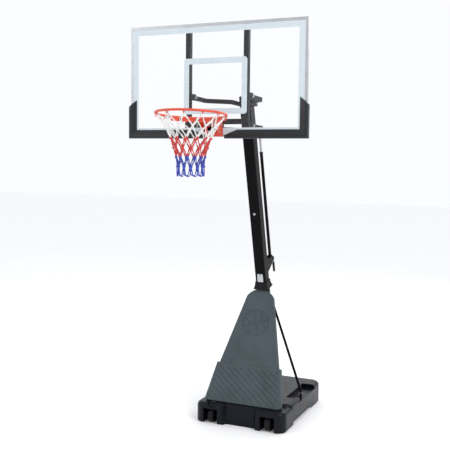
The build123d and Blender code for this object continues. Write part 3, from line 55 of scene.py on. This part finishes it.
class Tree:
    """Shorthand for building one material's nodes."""

    def __init__(self, name):
        self.mat = bpy.data.materials.new(name)
        self.mat.use_nodes = True
        self.nodes = self.mat.node_tree.nodes
        self.links = self.mat.node_tree.links
        self.bsdf = self.nodes["Principled BSDF"]
        self.coord = self.nodes.new("ShaderNodeTexCoord").outputs["Object"]

    def noise(self, scale, detail, rough=0.55, stretch=None):
        texture = self.nodes.new("ShaderNodeTexNoise")
        texture.inputs["Scale"].default_value = scale
        texture.inputs["Detail"].default_value = detail
        texture.inputs["Roughness"].default_value = rough
        self.links.new(self.mapped(stretch), texture.inputs["Vector"])
        return texture.outputs["Fac"]

    def mapped(self, stretch):
        """The object's coordinates, stretched when asked to."""
        if stretch is None:
            return self.coord
        mapping = self.nodes.new("ShaderNodeMapping")
        mapping.inputs["Scale"].default_value = stretch
        self.links.new(self.coord, mapping.inputs["Vector"])
        return mapping.outputs["Vector"]

    def cells(self, scale):
        texture = self.nodes.new("ShaderNodeTexVoronoi")
        texture.inputs["Scale"].default_value = scale
        self.links.new(self.coord, texture.inputs["Vector"])
        return texture.outputs["Distance"]

    def ramp(self, value, stops):
        """Colours along a value: (place, colour) stops."""
        node = self.nodes.new("ShaderNodeValToRGB")
        elements = node.color_ramp.elements
        while len(elements) < len(stops):
            elements.new(0.5)
        for element, (place, colour) in zip(elements, stops):
            element.position = place
            element.color = (*colour, 1.0)
        self.links.new(value, node.inputs["Fac"])
        return node.outputs["Color"]

    def span(self, value, low, high):
        """Noise brought to the range low to high."""
        node = self.nodes.new("ShaderNodeMapRange")
        node.inputs["From Min"].default_value = NOISE_LOW
        node.inputs["From Max"].default_value = NOISE_HIGH
        node.inputs["To Min"].default_value = low
        node.inputs["To Max"].default_value = high
        self.links.new(value, node.inputs["Value"])
        return node.outputs["Result"]

    def bumps(self, layers):
        """Stack bump layers: (height, strength, distance)."""
        last = None
        for height, strength, distance in layers:
            node = self.nodes.new("ShaderNodeBump")
            node.inputs["Strength"].default_value = strength
            node.inputs["Distance"].default_value = distance
            self.links.new(height, node.inputs["Height"])
            if last is not None:
                self.links.new(last, node.inputs["Normal"])
            last = node.outputs["Normal"]
        self.links.new(last, self.bsdf.inputs["Normal"])

    def to(self, socket, value):
        self.links.new(value, self.bsdf.inputs[socket])

    def set(self, **values):
        for name, value in values.items():
            self.bsdf.inputs[name.replace("_", " ")].default_value = value


def shade(colour, factor):
    return tuple(min(1.0, c * factor) for c in colour)


def surface(name, colour, rough, spread, patch=9.0, grain=420.0, lift=0.25, depth=0.0004,
            metal=0.0, stretch=None):
    """General finish: patchy colour, uneven gloss, and a fine grain in relief."""
    tree = Tree(name)
    stops = [(0.3, shade(colour, 1 - spread)), (0.5, colour), (0.72, shade(colour, 1 + spread))]
    tree.to("Base Color", tree.ramp(tree.noise(patch, 5.0), stops))
    tree.to("Roughness", tree.span(tree.noise(patch * 4.3, 6.0), *rough))
    fine = tree.noise(grain, 3.0, 0.6, stretch)
    tree.bumps([(fine, lift, depth), (tree.noise(patch * 2.2, 2.0), lift * 0.4, depth * 4)])
    tree.set(Metallic=metal)
    return tree.mat


def powder_coat(name, colour, rough=(0.30, 0.44), coat=0.0, gloss=0.06):
    """Orange-peel paint with faint dust."""
    tree = Tree(name)
    dusty = tuple(c * 0.95 + 0.0025 for c in colour)
    stops = [(0.3, shade(colour, 0.85)), (0.55, colour), (0.8, dusty)]
    tree.to("Base Color", tree.ramp(tree.noise(14.0, 8.0, 0.65), stops))
    tree.to("Roughness", tree.span(tree.noise(38.0, 5.0), *rough))
    tree.bumps([(tree.noise(950.0, 2.0), 0.22, 0.0003), (tree.cells(520.0), 0.12, 0.0003)])
    tree.set(Coat_Weight=coat, Coat_Roughness=0.18, Specular_IOR_Level=gloss)
    return tree.mat


def clear_sheet(name):
    """Nearly see-through sheet with a faint haze and slow waves."""
    tree = Tree(name)
    tree.to("Roughness", tree.span(tree.noise(6.0, 7.0), 0.03, 0.10))
    tree.bumps([(tree.noise(3.0, 2.0), 0.05, 0.0008), (tree.noise(800.0, 2.0), 0.03, 0.0001)])
    stops = [(0.3, (0.80, 0.86, 0.89)), (0.7, (0.88, 0.92, 0.94))]
    tree.to("Base Color", tree.ramp(tree.noise(2.5, 3.0), stops))
    tree.set(Alpha=0.022, IOR=1.45, Specular_IOR_Level=0.3)
    return tree.mat


def vinyl(name, colour):
    """Padding's skin: leather-like grain, broad dents and a soft sheen."""
    tree = Tree(name)
    grain = tree.cells(340.0)
    stops = [(0.3, shade(colour, 0.8)), (0.55, colour), (0.8, shade(colour, 1.35))]
    tree.to("Base Color", tree.ramp(tree.noise(11.0, 5.0), stops))
    tree.to("Roughness", tree.span(tree.noise(26.0, 4.0), 0.30, 0.46))
    tree.bumps([(grain, 0.42, 0.0006), (tree.noise(24.0, 2.0), 0.30, 0.003)])
    tree.set(Sheen_Weight=0.04, Sheen_Roughness=0.4, Specular_IOR_Level=0.42)
    return tree.mat


def pebbled(name, colour, rough, scale, lift, depth):
    """Moulded plastic with a pebbled skin."""
    tree = Tree(name)
    stops = [(0.3, shade(colour, 0.82)), (0.5, colour), (0.75, shade(colour, 1.12))]
    tree.to("Base Color", tree.ramp(tree.noise(5.0, 6.0), stops))
    tree.to("Roughness", tree.span(tree.noise(30.0, 4.0), *rough))
    tree.bumps([(tree.cells(scale), lift, depth),
                (tree.noise(scale * 0.16, 3.0), lift * 0.6, depth * 3)])
    tree.set(Specular_IOR_Level=0.15)
    return tree.mat


def cord_finish(name, colour):
    """Braided cord: a fine slanting weave and fuzzy sheen."""
    tree = Tree(name)
    weave = tree.nodes.new("ShaderNodeTexWave")
    weave.inputs["Scale"].default_value = 120.0
    weave.inputs["Distortion"].default_value = 3.0
    tree.links.new(tree.mapped((1.0, 1.0, 2.2)), weave.inputs["Vector"])
    stops = [(0.3, shade(colour, 0.78)), (0.6, colour)]
    tree.to("Base Color", tree.ramp(tree.noise(60.0, 5.0), stops))
    tree.to("Roughness", tree.span(tree.noise(90.0, 3.0), 0.7, 0.92))
    tree.bumps([(weave.outputs["Fac"], 0.5, 0.0008), (tree.noise(900.0, 2.0), 0.4, 0.0004)])
    tree.set(Sheen_Weight=0.4, Sheen_Roughness=0.5)
    return tree.mat


FINISHES = {
    "steel_black": (powder_coat, dict(colour=(0.0032, 0.0033, 0.0040))),
    "steel_zinc": (surface, dict(colour=(0.50, 0.51, 0.53), rough=(0.26, 0.45), spread=0.15,
                                 patch=60.0, grain=900.0, lift=0.2, depth=0.0002, metal=1.0)),
    "frame_silver": (surface, dict(colour=(0.46, 0.47, 0.49), rough=(0.28, 0.42), spread=0.08,
                                   patch=12.0, grain=700.0, lift=0.12, depth=0.0002,
                                   metal=0.85, stretch=(1.0, 1.0, 0.2))),
    "sheet_clear": (clear_sheet, dict()),
    "thread": (cord_finish, dict(colour=(0.045, 0.048, 0.055))),
    "print_white": (surface, dict(colour=(0.53, 0.60, 0.64), rough=(0.45, 0.6), spread=0.04,
                                  patch=20.0, grain=1200.0, lift=0.15, depth=0.0001)),
    "pad_black": (vinyl, dict(colour=(0.0045, 0.0055, 0.0085))),
    "ring_orange": (powder_coat, dict(colour=(0.66, 0.060, 0.020), coat=0.15, gloss=0.5)),
    "net_white": (cord_finish, dict(colour=(0.82, 0.82, 0.81))),
    "net_red": (cord_finish, dict(colour=(0.60, 0.018, 0.014))),
    "net_blue": (cord_finish, dict(colour=(0.012, 0.045, 0.42))),
    "base_black": (pebbled, dict(colour=(0.0034, 0.0044, 0.0082), rough=(0.22, 0.36),
                                 scale=260.0, lift=0.18, depth=0.0006)),
    "cover_grey": (pebbled, dict(colour=(0.057, 0.073, 0.082), rough=(0.50, 0.66),
                                 scale=210.0, lift=0.5, depth=0.0012)),
    "collar_black": (pebbled, dict(colour=(0.006, 0.006, 0.007), rough=(0.45, 0.6),
                                   scale=300.0, lift=0.3, depth=0.0006)),
    "water": (surface, dict(colour=(0.20, 0.32, 0.40), rough=(0.05, 0.1), spread=0.1)),
    "wheel_black": (pebbled, dict(colour=(0.006, 0.006, 0.007), rough=(0.5, 0.66),
                                  scale=320.0, lift=0.35, depth=0.0008)),
    "cap_black": (pebbled, dict(colour=(0.007, 0.0075, 0.009), rough=(0.4, 0.55),
                                scale=320.0, lift=0.3, depth=0.0006)),
    "shaft_grey": (powder_coat, dict(colour=(0.40, 0.41, 0.43), rough=(0.3, 0.45), coat=0.2,
                                     gloss=0.5)),
    "grip_black": (pebbled, dict(colour=(0.006, 0.006, 0.0065), rough=(0.55, 0.7),
                                 scale=260.0, lift=0.45, depth=0.001)),
}
MATERIALS = {name: make(name, **values) for name, (make, values) in FINISHES.items()}
SHARP_ANGLE = math.radians(32)


def paint(obj, material):
    obj.data.materials.clear()
    obj.data.materials.append(material)


def smooth(obj):
    obj.data.polygons.foreach_set("use_smooth", [True] * len(obj.data.polygons))


for row in frame["record"]["subparts"]:
    if row["node"] == "net":
        continue
    node = NODES[row["node"]]
    paint(node, MATERIALS[row["material_slot"]])
    smooth(node)
    node.data.set_sharp_from_angle(angle=SHARP_ANGLE)

# ---- pieces ------------------------------------------------------------------
NEARLY_UPRIGHT = 0.95


def add_mesh(name, verts, faces, material, body):
    mesh = bpy.data.meshes.new(name)
    mesh.from_pydata([tuple(v) for v in verts], [], faces)
    mesh.update()
    obj = bpy.data.objects.new(name, mesh)
    bpy.context.scene.collection.objects.link(obj)
    paint(obj, material)
    smooth(obj)
    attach(obj, body)
    return obj


def tube_mesh(verts, faces, points, radius, sides, closed=False):
    """Add a round tube along points to a growing mesh."""
    count = len(points)
    start = len(verts)
    for i, point in enumerate(points):
        before = points[i - 1] if (i or closed) else points[0]
        after = points[(i + 1) % count] if (i + 1 < count or closed) else points[-1]
        along = (after - before).normalized()
        upright = abs(along.z) > NEARLY_UPRIGHT
        side = along.orthogonal() if upright else along.cross(Vector((0, 0, 1)))
        side.normalize()
        up = side.cross(along).normalized()
        for k in range(sides):
            a = 2 * math.pi * k / sides
            verts.append(point + radius * (side * math.cos(a) + up * math.sin(a)))
    rings = count if closed else count - 1
    for i in range(rings):
        a0 = start + i * sides
        b0 = start + ((i + 1) % count) * sides
        for k in range(sides):
            k2 = (k + 1) % sides
            faces.append((a0 + k, a0 + k2, b0 + k2, b0 + k))
    if not closed:
        faces.append(tuple(start + k for k in reversed(range(sides))))
        end = start + (count - 1) * sides
        faces.append(tuple(end + k for k in range(sides)))


# ---- net ---------------------------------------------------------------------
RING_LOW, RING_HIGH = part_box("rim_ring")
RING_CENTRE = (RING_LOW + RING_HIGH) / 2
RING_TILT = math.tan(math.radians(4.0))
TILT_ROWS = 3               # rows over which the ring's tilt fades out
NET_LOW, NET_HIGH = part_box("net")
LOOPS = 12                  # one for each net hook
HOOK_CIRCLE_R = 0.229
HANG = 0.012                # cord beyond the CAD net's box, above and below
# Height above the floor and distance from the net's middle, from the hooks down.
ROWS = [
    (NET_HIGH.z + HANG, HOOK_CIRCLE_R),
    (2.347, 0.176),
    (2.275, 0.138),
    (2.212, 0.116),
    (2.149, 0.100),
    (2.086, 0.091),
    (NET_LOW.z - HANG, 0.090),
]
LOOP_ENDS = len(ROWS) - 1
LAST_KNOTS = LOOP_ENDS - 1
# Each colour of cord: its first row of knots, and the row after its last.
BANDS = [("net_white", 0, 2), ("net_red", 2, 4), ("net_blue", 4, 6)]
CORD_R = 0.0038
STRAND_R = CORD_R * 0.72
HOOK_CORD_R = CORD_R * 0.8
STRAND_GAP = 0.0042
STRAND_STEPS = 6
TWIST_DEPTH = 0.7           # the pair's depth, as a share of its width
TWIST_END = 0.45            # the pair's width at a knot, as a share of its middle
SLACK = 0.004               # how far a strand eases inwards between its knots
SAG_SHARE = 0.4             # how far it drops, as a share of the slack
WANDER = 0.004              # how far a knot strays from its regular place
KNOT_R = 0.0078
KNOT_LUMP = 0.22
KNOT_LUMP_SCALE = 420
KNOT_STRETCH = 1.25
HOOK_LOOP_POINTS = 13
HOOK_LOOP_HALF_W = 0.006
HOOK_LOOP_HALF_H = 0.010
HOOK_LOOP_RISE = 0.018
BOTTOM_STEPS = 12


def net_angle(step):
    return 2 * math.pi * (step + 0.5) / LOOPS


def outwards(point):
    """Level direction from the net's middle to a point."""
    return Vector((point.x - RING_CENTRE.x, point.y - RING_CENTRE.y, 0)).normalized()


def net_point(row, step):
    """Knot's place: rows down the net, steps of a whole loop round it."""
    z, radius = ROWS[row]
    stray = WANDER if row > 0 else 0.0
    radius += stray * noise.noise(Vector((step * 1.7, row * 2.3, 4.1)))
    x = RING_CENTRE.x + radius * math.sin(net_angle(step))
    y = RING_CENTRE.y - radius * math.cos(net_angle(step))
    tilt = (RING_CENTRE.y - y) * RING_TILT * max(0.0, 1 - row / TILT_ROWS)
    rise = stray * noise.noise(Vector((step * 2.9, row * 1.3, 9.7)))
    return Vector((x, y, z + tilt + rise))


def slack(a, b):
    """Points from a to b, easing inwards and down a little."""
    points = []
    for i in range(STRAND_STEPS + 1):
        t = i / STRAND_STEPS
        point = a.lerp(b, t)
        bow = SLACK * 4 * t * (1 - t)
        points.append(point - outwards(point) * bow - Vector((0, 0, SAG_SHARE * bow)))
    return points


def knot(verts, faces, at):
    """Small lumpy knot."""
    ball = bmesh.new()
    bmesh.ops.create_icosphere(ball, subdivisions=2, radius=KNOT_R)
    start = len(verts)
    for v in ball.verts:
        lump = 1 + KNOT_LUMP * noise.noise((v.co + at) * KNOT_LUMP_SCALE)
        verts.append(at + Vector((v.co.x * lump, v.co.y * lump, v.co.z * lump * KNOT_STRETCH)))
    for face in ball.faces:
        faces.append(tuple(start + v.index for v in face.verts))
    ball.free()


def hook_loop(verts, faces, step):
    """Loop of cord over one net hook."""
    middle = net_point(0, step) + Vector((0, 0, HOOK_LOOP_RISE / 2))
    side = Vector((math.cos(net_angle(step)), math.sin(net_angle(step)), 0))
    points = []
    for i in range(HOOK_LOOP_POINTS):
        a = 2 * math.pi * i / HOOK_LOOP_POINTS
        height = Vector((0, 0, HOOK_LOOP_HALF_H * math.cos(a)))
        points.append(middle + side * HOOK_LOOP_HALF_W * math.sin(a) + height)
    tube_mesh(verts, faces, points, HOOK_CORD_R, 6, closed=True)


def strand_pair(verts, faces, a, b):
    """Two strands, loosely twisted, between two knots."""
    middle = slack(a, b)
    along = (b - a).normalized()
    side = along.cross(outwards(a)).normalized()
    out = side.cross(along)
    for phase in (0.0, math.pi):
        points = []
        for i, point in enumerate(middle):
            half_turn = math.pi * i / STRAND_STEPS
            turn = phase + half_turn
            swing = STRAND_GAP * (side * math.cos(turn) + out * math.sin(turn) * TWIST_DEPTH)
            points.append(point + swing * (TWIST_END + (1 - TWIST_END) * math.sin(half_turn)))
        tube_mesh(verts, faces, points, STRAND_R, 7)


def bottom_loop(verts, faces, step):
    """Loose rounded loop between two of the lowest knots."""
    a = net_point(LAST_KNOTS, step - 0.5)
    b = net_point(LAST_KNOTS, step + 0.5)
    low = net_point(LOOP_ENDS, step)
    points = []
    for i in range(BOTTOM_STEPS + 1):
        t = i / BOTTOM_STEPS
        point = a.lerp(b, t)
        sag = 1 - (2 * t - 1) ** 4
        point.x += (low.x - (a.x + b.x) / 2) * sag
        point.y += (low.y - (a.y + b.y) / 2) * sag
        point.z += (low.z - point.z) * sag
        points.append(point)
    tube_mesh(verts, faces, points, CORD_R, 8)


def make_net():
    """The net in three colours of cord, all riding on the rim."""
    for name, first, last in BANDS:
        verts, faces = [], []
        for row in range(first, last):
            shift = 0.5 * (row % 2)
            for k in range(LOOPS):
                step = k + shift
                top = net_point(row, step)
                if row == 0:
                    hook_loop(verts, faces, step)
                else:
                    knot(verts, faces, top)
                if row == LAST_KNOTS:
                    bottom_loop(verts, faces, step + 0.5)
                    continue
                for turn in (-0.5, 0.5):
                    strand_pair(verts, faces, top, net_point(row + 1, step + turn))
        add_mesh(name, verts, faces, MATERIALS[name], "rim")
    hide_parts("net")


make_net()

# ---- pads --------------------------------------------------------------------
PAD_VOXEL = 0.003
PAD_EASING = 5
PAD_FACE_DEPTH = 0.012      # how deep from the front the swelling reaches
PAD_SWELL = 0.0012
PAD_SWELL_SCALE = 9
STITCH = 0.0065
STITCH_PITCH = 0.010
THREAD_R = 0.0007
SEAM_IN = 0.0085            # seam's distance from the pad's outer and lower edges
SEAM_TOP_IN = 0.066
SEAM_INNER_IN = 0.004


def apply_modifiers(obj):
    graph = bpy.context.evaluated_depsgraph_get()
    mesh = bpy.data.meshes.new_from_object(obj.evaluated_get(graph))
    obj.modifiers.clear()
    obj.data = mesh


def soft_copy(source, name):
    """A CAD solid's copy with soft edges, ready to be shaped."""
    obj = bpy.data.objects.new(name, NODES[source].data.copy())
    bpy.context.scene.collection.objects.link(obj)
    remesh = obj.modifiers.new("remesh", "REMESH")
    remesh.mode = "VOXEL"
    remesh.voxel_size = PAD_VOXEL
    ease = obj.modifiers.new("ease", "SMOOTH")
    ease.iterations = PAD_EASING
    ease.factor = 0.5
    apply_modifiers(obj)
    return obj


def make_pad(label):
    """Soft skin over one edge pad, with a slightly uneven front."""
    obj = soft_copy("pad_" + label, "pad_skin_" + label)
    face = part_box("pad_" + label)[0].y
    for v in obj.data.vertices:
        if v.co.y < face + PAD_FACE_DEPTH:
            spot = Vector((v.co.x * PAD_SWELL_SCALE, 3.3, v.co.z * PAD_SWELL_SCALE))
            v.co.y += PAD_SWELL * noise.noise(spot)
    smooth(obj)
    paint(obj, MATERIALS["pad_black"])
    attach(obj, "board")
    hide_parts("pad_" + label)


def stitch_line(verts, faces, start, end):
    """Row of separate stitches, each dipping into the skin at its ends."""
    along = (end - start).normalized()
    dip = Vector((0, THREAD_R * 1.2, 0))
    for i in range(int((end - start).length / STITCH_PITCH)):
        at = start + along * (i + 0.5) * STITCH_PITCH
        points = [at - along * STITCH / 2 + dip, at - along * STITCH / 4,
                  at + along * STITCH / 4, at + along * STITCH / 2 + dip]
        tube_mesh(verts, faces, points, THREAD_R, 6)


def make_seams(side, label):
    """Stitching along the outer and lower edges of a pad."""
    low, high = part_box("pad_" + label)
    face = low.y + THREAD_R * 0.4
    outer = high.x - SEAM_IN if side > 0 else low.x + SEAM_IN
    inner = side * (min(abs(low.x), abs(high.x)) + SEAM_INNER_IN)
    foot = low.z + SEAM_IN
    corner = Vector((outer, face, foot))
    verts, faces = [], []
    stitch_line(verts, faces, corner, Vector((outer, face, high.z - SEAM_TOP_IN)))
    stitch_line(verts, faces, corner, Vector((inner, face, foot)))
    add_mesh("pad_stitching_" + label, verts, faces, MATERIALS["thread"], "board")


for pad_side, pad_label in ((-1, "left"), (1, "right")):
    make_pad(pad_label)
    make_seams(pad_side, pad_label)

# ---- stage, light and camera -------------------------------------------------
FLOOR_REACH = 30.0
SKY_COLOUR = (0.97, 0.98, 1.0, 1.0)
SKY_STRENGTH = 1.0
# Each light's name, place, the point it faces, width and power.
LIGHTS = [
    ("key", (5.5, -3.5, 6.0), (0, -0.5, 1.6), 3.0, 210),
    ("fill", (-5.0, -5.0, 4.0), (0, -0.5, 1.4), 4.0, 60),
    ("rear", (1.5, 5.5, 5.0), (0, -0.3, 1.8), 3.0, 90),
]
CAMERA_PLACE = (2.3101, -6.0227, 2.150)
CAMERA_AZIMUTH = math.radians(23.8247)
CAMERA_DOWN = math.radians(5.0106)
CAMERA_ROLL = math.radians(0.6287)
CAMERA_SENSOR = 36.0        # millimetres, like the lens
CAMERA_LENS = 61.70


def make_floor():
    reach = FLOOR_REACH
    mesh = bpy.data.meshes.new("studio_floor")
    square = [(-reach, -reach, 0), (reach, -reach, 0), (reach, reach, 0), (-reach, reach, 0)]
    mesh.from_pydata(square, [], [(0, 1, 2, 3)])
    floor = bpy.data.objects.new("studio_floor", mesh)
    bpy.context.scene.collection.objects.link(floor)
    paint(floor, surface("floor_pale", (0.96, 0.96, 0.96), (0.6, 0.75), spread=0.01, patch=1.5,
                         grain=60.0, lift=0.05))


def make_world():
    world = bpy.data.worlds.new("studio")
    world.use_nodes = True
    sky = world.node_tree.nodes["Background"]
    sky.inputs["Color"].default_value = SKY_COLOUR
    sky.inputs["Strength"].default_value = SKY_STRENGTH
    bpy.context.scene.world = world
    bpy.context.scene.view_settings.view_transform = "Standard"


def area_light(name, place, aim, size, power):
    light = bpy.data.lights.new(name, "AREA")
    light.shape = "DISK"
    light.size = size
    light.energy = power
    obj = bpy.data.objects.new(name, light)
    obj.location = place
    obj.rotation_euler = (Vector(aim) - Vector(place)).to_track_quat("-Z", "Y").to_euler()
    bpy.context.scene.collection.objects.link(obj)


def make_camera():
    """The photograph's viewpoint, fitted to the board's frame and the ring."""
    level_part = math.cos(CAMERA_DOWN)
    forward = Vector((-math.sin(CAMERA_AZIMUTH) * level_part,
                      math.cos(CAMERA_AZIMUTH) * level_part,
                      -math.sin(CAMERA_DOWN)))
    level = Vector((math.cos(CAMERA_AZIMUTH), math.sin(CAMERA_AZIMUTH), 0))
    above = level.cross(forward)
    right = level * math.cos(CAMERA_ROLL) + above * math.sin(CAMERA_ROLL)
    up = above * math.cos(CAMERA_ROLL) - level * math.sin(CAMERA_ROLL)
    data = bpy.data.cameras.new("photo_view")
    data.sensor_width = CAMERA_SENSOR
    data.lens = CAMERA_LENS
    camera = bpy.data.objects.new("photo_view", data)
    turn = Matrix((right, up, -forward)).transposed().to_4x4()
    camera.matrix_world = Matrix.Translation(CAMERA_PLACE) @ turn
    bpy.context.scene.collection.objects.link(camera)
    bpy.context.scene.camera = camera


make_floor()
make_world()
for light_values in LIGHTS:
    area_light(*light_values)
make_camera()
